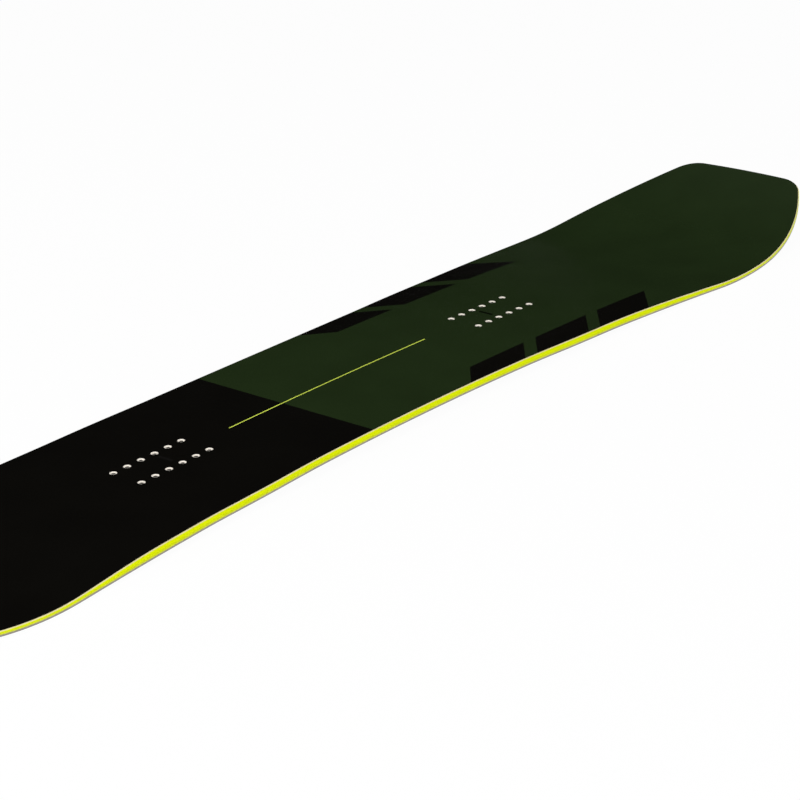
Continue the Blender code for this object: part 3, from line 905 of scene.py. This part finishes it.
def break_edges(bm: bmesh.types.BMesh, width: float) -> bmesh.types.BMesh:
    """Take the sharpness off every worked edge.

    Args:
        bm: The piece.
        width: Width of the broken edge on either face.

    Returns:
        The same piece.
    """
    sharp = [edge for edge in bm.edges if edge.calc_face_angle(0.0) > WORKED_ANGLE]
    bmesh.ops.bevel(bm, geom=sharp, offset=width, offset_type="OFFSET", affect="EDGES",
                    segments=EDGE_FACETS, profile=0.5, material=-1)
    return bm


def new_object(name: str, bm: bmesh.types.BMesh) -> bpy.types.Object:
    """Make an object of a bmesh, which is then freed.

    Args:
        name: Name of the object.
        bm: Its mesh.

    Returns:
        The object, in the scene.
    """
    mesh = bpy.data.meshes.new(name)
    bm.to_mesh(mesh)
    bm.free()
    made = bpy.data.objects.new(name, mesh)
    bpy.context.scene.collection.objects.link(made)
    return made


def drilled(bm: bmesh.types.BMesh, seats: Sequence[Matrix], radius: float) -> bmesh.types.BMesh:
    """Drill a round hole through a plate at every seat.

    Args:
        bm: The plate, which is freed.
        seats: Frames whose Z is the hole's axis.
        radius: Radius of the holes.

    Returns:
        The plate with its holes.
    """
    reach = 0.040  # well through the plate
    bars = bmesh.new()
    for seat in seats:
        bmesh.ops.create_cone(bars, cap_ends=True, segments=ROUND_STEPS, radius1=radius, radius2=radius,
                              depth=reach, matrix=seat)
    plate = new_object("plate_to_drill", bm)
    cutter = new_object("drill", bars)
    cut = plate.modifiers.new("holes", "BOOLEAN")
    cut.operation = "DIFFERENCE"
    cut.solver = "EXACT"
    cut.object = cutter
    result = bmesh.new()
    result.from_object(plate, bpy.context.evaluated_depsgraph_get())
    for temporary in (plate, cutter):
        mesh = temporary.data
        bpy.data.objects.remove(temporary)
        bpy.data.meshes.remove(mesh)
    return result


def add_piece(name: str, bm: bmesh.types.BMesh, finishes: Sequence[Finish], node: str) -> None:
    """Put a finished piece on the board in the place of its CAD node.

    Args:
        name: Name of the piece.
        bm: Its mesh, which is freed.
        finishes: Finishes in the order of the faces' material numbers.
        node: The CAD node that it stands for.
    """
    piece = new_object(name, bm)
    for finish in finishes:
        piece.data.materials.append(finish.material())
    piece.data.shade_smooth()
    piece.data.set_sharp_from_angle(angle=SHARP_ANGLE)
    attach(piece, BODY)
    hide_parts(node)
    LOG.info("%s: %d faces, stands for %s", name, len(piece.data.polygons), node)


@dataclass
class Deck:
    """Printed topsheet and the glass laminate under it, both drilled for the inserts."""

    board: Board
    hole_radius: float = 0.00425
    broken_edge: float = 0.00012
    rim_slope: float = 0.80  # faces steeper than this are cut edges, not print

    def build(self) -> None:
        """Build and dress both layers."""
        board = self.board
        seats = [seat for _, _, _, seat in board.insert_seats()]
        for name, node, slot, low, high, finishes in (
            ("upper_glass_layer", "upper_laminate", "laminate", board.laminate_seat, board.topsheet_seat,
             (LAMINATE,)),
            ("printed_topsheet", "topsheet", "topsheet", board.topsheet_seat, board.deck_level,
             (TOPSHEET, GROUND_RIM)),
        ):
            # The ground rim leans at 45 degrees, so a corner lies as far in as up.
            corners = [Corner(level, level, Datum.CORE, rim=True) for level in (low, high)]
            bm = break_edges(board.plate(board.outline, corners), self.broken_edge)
            bm = drilled(bm, seats, self.hole_radius)
            for face in bm.faces:
                face.material_index = int(len(finishes) > 1 and face.normal.z < self.rim_slope)
            add_piece(name, bm, finishes, node)


@dataclass
class Sides:
    """Milled sidewalls beside the wood and the moulded spacers in both ends."""

    board: Board
    broken_edge: float = 0.00015

    def build(self) -> None:
        """Build and dress both sidewalls and both spacers."""
        board = self.board
        outer = [
            Corner(board.joggle_inner, board.core_seat),
            Corner(board.joggle_outer, board.laminate_top),
            Corner(0.0, board.laminate_top),
            Corner(0.0, 0.0, Datum.BEVEL),
            Corner(board.laminate_seat, board.laminate_seat, Datum.CORE, rim=True),
        ]
        inner = [
            Corner(board.sidewall_inset, board.laminate_seat, Datum.CORE),
            Corner(board.sidewall_inset, board.core_seat),
        ]
        tail_end, nose_end = board.core_end(board.tail), board.core_end(board.nose)
        for side in Side:
            bm = board.rail(board.run(tail_end, nose_end), outer + inner, side)
            name = side.name.lower()
            add_piece(f"milled_sidewall_{name}", break_edges(bm, self.broken_edge), (SIDEWALL,),
                      f"sidewall_{name}")
        nose_run = board.run(nose_end, board.nose.corner_start) + board.end_stations(board.nose)
        tail_run = board.end_stations(board.tail)[::-1] + board.run(-board.tail.corner_start, tail_end)
        for name, stations in (("nose", nose_run), ("tail", tail_run)):
            bm = board.plate(stations, outer)
            add_piece(f"{name}_end_spacer", break_edges(bm, self.broken_edge), (SIDEWALL,),
                      f"{name}_spacer")


@dataclass
class Underside:
    """Base sheet, steel edges, damping foils and the lower glass laminate."""

    board: Board
    broken_edge: float = 0.00010

    def build(self) -> None:
        """Build and dress every layer from the snow up to the core."""
        board = self.board
        sheet = [Corner(board.edge_width, 0.0), Corner(board.edge_width, board.flange_seat)]
        add_piece("stone_ground_base", board.plate(board.outline, sheet), (BASE,), "base_sheet")
        thickness = board.laminate_top - board.foil_top
        low = board.flange_seat
        laminate = [
            Corner(board.joggle_inner, low),
            Corner(board.joggle_outer, board.foil_top),
            Corner(board.foil_lip, board.foil_top),
            Corner(board.foil_lip, board.edge_height),
            Corner(0.0, board.edge_height),
            Corner(0.0, board.laminate_top),
            Corner(board.joggle_outer, board.laminate_top),
            Corner(board.joggle_inner, low + thickness),
        ]
        add_piece("lower_glass_layer", board.plate(board.outline, laminate), (LOWER_LAMINATE,),
                  "lower_laminate")
        edge = [
            Corner(0.0, 0.0),
            Corner(board.edge_width, 0.0),
            Corner(board.edge_width, board.flange_seat),
            Corner(board.flange_inset, board.flange_seat),
            Corner(board.flange_inset, board.edge_height),
            Corner(0.0, board.edge_height),
        ]
        foil = [
            Corner(board.foil_lip, board.edge_height),
            Corner(board.foil_inset, board.edge_height),
            Corner(board.foil_inset, board.foil_top),
            Corner(board.foil_lip, board.foil_top),
        ]
        for side in Side:
            name = side.name.lower()
            bar = break_edges(board.rail(board.outline, edge, side), self.broken_edge)
            add_piece(f"ground_edge_{name}", bar, (EDGE_STEEL,), f"steel_edge_{name}")
            add_piece(f"rubber_foil_{name}", board.rail(board.outline, foil, side), (RUBBER,),
                      f"damping_foil_{name}")


@dataclass
class InsertPacks:
    """Two packs of turned inserts with flange, countersink and threaded bore."""

    board: Board
    bore: float = 0.0025
    thread_depth: float = 0.0004
    thread_pitch: float = 0.0010
    thread_run: float = 0.0004  # half of a groove's width
    barrel: float = 0.0042
    flange: float = 0.0080
    flange_thickness: float = 0.0010
    countersink: float = 0.0011
    thread_start: float = 0.0001  # plain bore below the countersink
    edge_break: float = 0.0002
    recess: float = 0.0001
    thread_top: float = field(init=False)
    profile: list[tuple[float, float]] = field(init=False)

    def __post_init__(self) -> None:
        """Lay out the half section, radius and height, from the bore's foot outwards and up."""
        top = self.board.core_thickness + self.board.deck_level - self.recess
        outside = [
            (self.bore, 0.0),
            (self.flange - self.edge_break, 0.0),
            (self.flange, self.edge_break),
            (self.flange, self.flange_thickness),
            (self.barrel, self.flange_thickness),
            (self.barrel, top - self.edge_break),
            (self.barrel - self.edge_break, top),
            (self.bore + self.countersink, top),
            (self.bore, top - self.countersink),
            (self.bore, top - self.countersink - self.thread_start + WELD),
        ]
        # The thread is drawn as rings of its real pitch.
        self.thread_top = top - self.countersink - self.thread_start
        turns = int(self.thread_top / self.thread_pitch)
        thread = []
        for turn in range(turns):
            middle = self.thread_top - (turn + 0.5) * self.thread_pitch
            thread.append((self.bore, middle + self.thread_run))
            thread.append((self.bore + self.thread_depth, middle))
            thread.append((self.bore, middle - self.thread_run))
        self.profile = outside + thread

    def turned(self) -> bmesh.types.BMesh:
        """Turn one insert about Z.

        Returns:
            The insert standing at the origin, each vertex marked with its place on the profile.
        """
        bm = bmesh.new()
        feed = bm.verts.layers.float.new(STEEL_INSERT.attribute)
        ring = []
        travelled = 0.0
        for k, (radius, height) in enumerate(self.profile):
            if k:
                travelled += math.dist(self.profile[k - 1], self.profile[k])
            vert = bm.verts.new((radius, 0.0, height))
            vert[feed] = travelled
            ring.append(vert)
        edges = [bm.edges.new((ring[k - 1], ring[k])) for k in range(len(ring))]
        bmesh.ops.spin(bm, geom=ring + edges, cent=(0, 0, 0), axis=(0, 0, 1), angle=math.tau,
                       steps=ROUND_STEPS, use_merge=True)
        bmesh.ops.recalc_face_normals(bm, faces=bm.faces)
        # Faces of the thread take the second, dark finish: painted shade for the deep bore.
        thread_reach = self.bore + self.thread_depth + WELD
        for face in bm.faces:
            thread_in_painted_shade = all(vert.co.xy.length < thread_reach and vert.co.z < self.thread_top
                           for vert in face.verts)
            face.material_index = int(thread_in_painted_shade)
        return bm

    def build(self) -> None:
        """Turn, seat and dress every insert."""
        for foot, side, column, seat in self.board.insert_seats():
            bm = self.turned()
            bmesh.ops.transform(bm, matrix=seat, verts=bm.verts)
            place = f"{foot.name.lower()}_{side.name.lower()}_{column + 1}"
            # The second finish paints the bore's shade onto the thread.
            add_piece(f"turned_insert_{place}", bm, (STEEL_INSERT, STEEL_BORE_PAINTED_SHADE),
                      f"insert_{place}")


@dataclass
class Core:
    """Wood strips of the core: they keep their CAD nodes, hidden in the lay-up."""

    nodes: dict[str, bpy.types.Object]

    def build(self) -> None:
        """Dress the strips that hold the inserts in beech and the others in poplar."""
        for name, node in sorted(self.nodes.items()):
            if "stringer" in name:
                finish = BEECH if name.startswith("insert_") else POPLAR
                node.data.materials.clear()
                node.data.materials.append(finish.material())
                LOG.info("%s: CAD node dressed in %s", name, finish.name)


@dataclass(frozen=True)
class StudioFloor(Finish):
    """White studio paper: shows as white, and still takes a soft shadow."""

    name: str = "studio_paper_white"
    paper: str = "#F4F4F4"
    roughness: float = 0.9
    glow: float = 0.96  # share of plain white that the camera and mirrors see

    def dress(self, tree: bpy.types.NodeTree, shader: bpy.types.Node) -> None:
        """Mix plain white into the paper where the camera, metal or glass looks at it.

        Args:
            tree: The material's node tree.
            shader: The Principled shader in it.
        """
        set_inputs(shader, {"Base Color": linear(self.paper), "Roughness": self.roughness,
                            "Specular IOR Level": 0.0})
        seen = add_node(tree, "LightPath", out="Is Camera Ray")
        path = seen.node
        for ray in ("Is Glossy Ray", "Is Transmission Ray"):
            seen = add_node(tree, "Math", {0: seen, 1: path.outputs[ray]}, operation="MAXIMUM")
        share = add_node(tree, "Math", {0: seen, 1: self.glow}, operation="MULTIPLY")
        white = add_node(tree, "Emission", {"Color": linear(WHITE), "Strength": 1.0})
        mixed = add_node(tree, "MixShader", {0: share, 1: shader.outputs[0], 2: white})
        set_inputs(tree.nodes["Material Output"], {"Surface": mixed})


@dataclass(frozen=True)
class Lamp:
    """A soft rectangular lamp that looks at the board.

    The lamps are cross-polarised, as for copying flat prints: they light the deck without a mirror image
    on it, so the inks keep their depth from every side.
    """

    name: str
    place: tuple[float, float, float]
    target: tuple[float, float, float]
    size: tuple[float, float]
    power: float

    def build(self) -> None:
        """Hang the lamp."""
        light = bpy.data.lights.new(self.name, "AREA")
        light.shape = "RECTANGLE"
        light.size, light.size_y = self.size
        light.energy = self.power
        lamp = bpy.data.objects.new(self.name, light)
        bpy.context.scene.collection.objects.link(lamp)
        lamp.location = self.place
        lamp.visible_glossy = False
        look = Vector(self.target) - Vector(self.place)
        lamp.rotation_euler = look.to_track_quat("-Z", "Y").to_euler()


@dataclass
class Studio:
    """White paper floor, a soft dome of light, lamps and the photograph's camera."""

    floor_half: float = 40.0
    floor_level: float = -0.0002
    camera_place: tuple[float, float, float] = (-1.992938, -1.687067, 1.018378)
    camera_turn: tuple[float, float, float] = (68.3362, 1.1386, -51.1396)
    lens: float = 112.6507
    sensor: float = 36.0
    ceiling: float = 0.30  # light of the dome overhead
    ceiling_start: float = 0.60  # height on the unit dome where it starts to show
    ceiling_full: float = 0.95
    horizon_band: float = 0.03  # height of the pale rim
    shade: float = 0.005  # light of the dome at eye level, where the deck's mirror image looks
    lamps: tuple[Lamp, ...] = (
        Lamp("key_softbox", (-3.4, -0.6, 2.4), (0.0, 0.0, 0.0), (2.0, 1.6), 122.0),
        Lamp("side_softbox", (0.2, -3.8, 1.6), (0.0, 0.0, 0.0), (3.0, 1.6), 76.0),
        Lamp("nose_softbox", (3.6, -2.2, 2.2), (0.2, 0.0, 0.0), (2.0, 1.6), 40.0),
        Lamp("back_softbox", (-2.2, 3.6, 2.4), (0.0, 0.0, 0.0), (2.4, 1.6), 70.0),
    )

    def build(self) -> None:
        """Set up the floor, the light and the camera."""
        bm = bmesh.new()
        bmesh.ops.create_grid(bm, x_segments=2, y_segments=2, size=self.floor_half)
        bmesh.ops.translate(bm, verts=bm.verts, vec=(0.0, 0.0, self.floor_level))
        floor = new_object("studio_floor", bm)
        paper = StudioFloor().material()
        paper.cycles.emission_sampling = "NONE"
        floor.data.materials.append(paper)
        self.light_dome()
        for lamp in self.lamps:
            lamp.build()
        self.set_camera()
        bpy.context.scene.view_settings.view_transform = "Standard"

    def light_dome(self) -> None:
        """Light the world from overhead, with a pale rim at the horizon."""
        world = bpy.data.worlds.new("studio_dome")
        bpy.context.scene.world = world
        world.use_nodes = True
        tree = world.node_tree
        way = add_node(tree, "TexCoord", out="Generated")
        height = add_node(tree, "SeparateXYZ", {0: way}, out="Z")
        overhead = add_node(tree, "MapRange",
                            {"Value": height, "From Min": self.ceiling_start, "From Max": self.ceiling_full,
                             "To Min": self.shade, "To Max": self.ceiling},
                            interpolation_type="SMOOTHSTEP")
        horizon = add_node(tree, "MapRange",
                           {"Value": height, "From Min": 0.0, "From Max": self.horizon_band, "To Min": 1.0,
                            "To Max": 0.0}, interpolation_type="SMOOTHSTEP")
        level = add_node(tree, "Math", {0: overhead, 1: horizon}, operation="ADD")
        set_inputs(tree.nodes["Background"], {"Strength": level, "Color": linear(WHITE)})

    def set_camera(self) -> None:
        """Stand the camera where the photograph was taken."""
        data = bpy.data.cameras.new("photo_camera")
        data.lens = self.lens
        data.sensor_width = self.sensor
        camera = bpy.data.objects.new("photo_camera", data)
        bpy.context.scene.collection.objects.link(camera)
        camera.location = self.camera_place
        camera.rotation_euler = Euler([math.radians(turn) for turn in self.camera_turn], "XYZ")
        bpy.context.scene.camera = camera


def main() -> None:
    """Build the sub-assemblies round the frame."""
    logging.basicConfig(level=logging.INFO, format="%(name)s: %(message)s")
    for old in list(bpy.data.objects):
        bpy.data.objects.remove(old, do_unlink=True)
    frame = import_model()
    board = Board()
    for assembly in (Core(frame["nodes"]), Underside(board), Sides(board), Deck(board),
                     InsertPacks(board), Studio()):
        LOG.info("building %s", type(assembly).__name__)
        assembly.build()


if __name__ == "__main__":
    main()
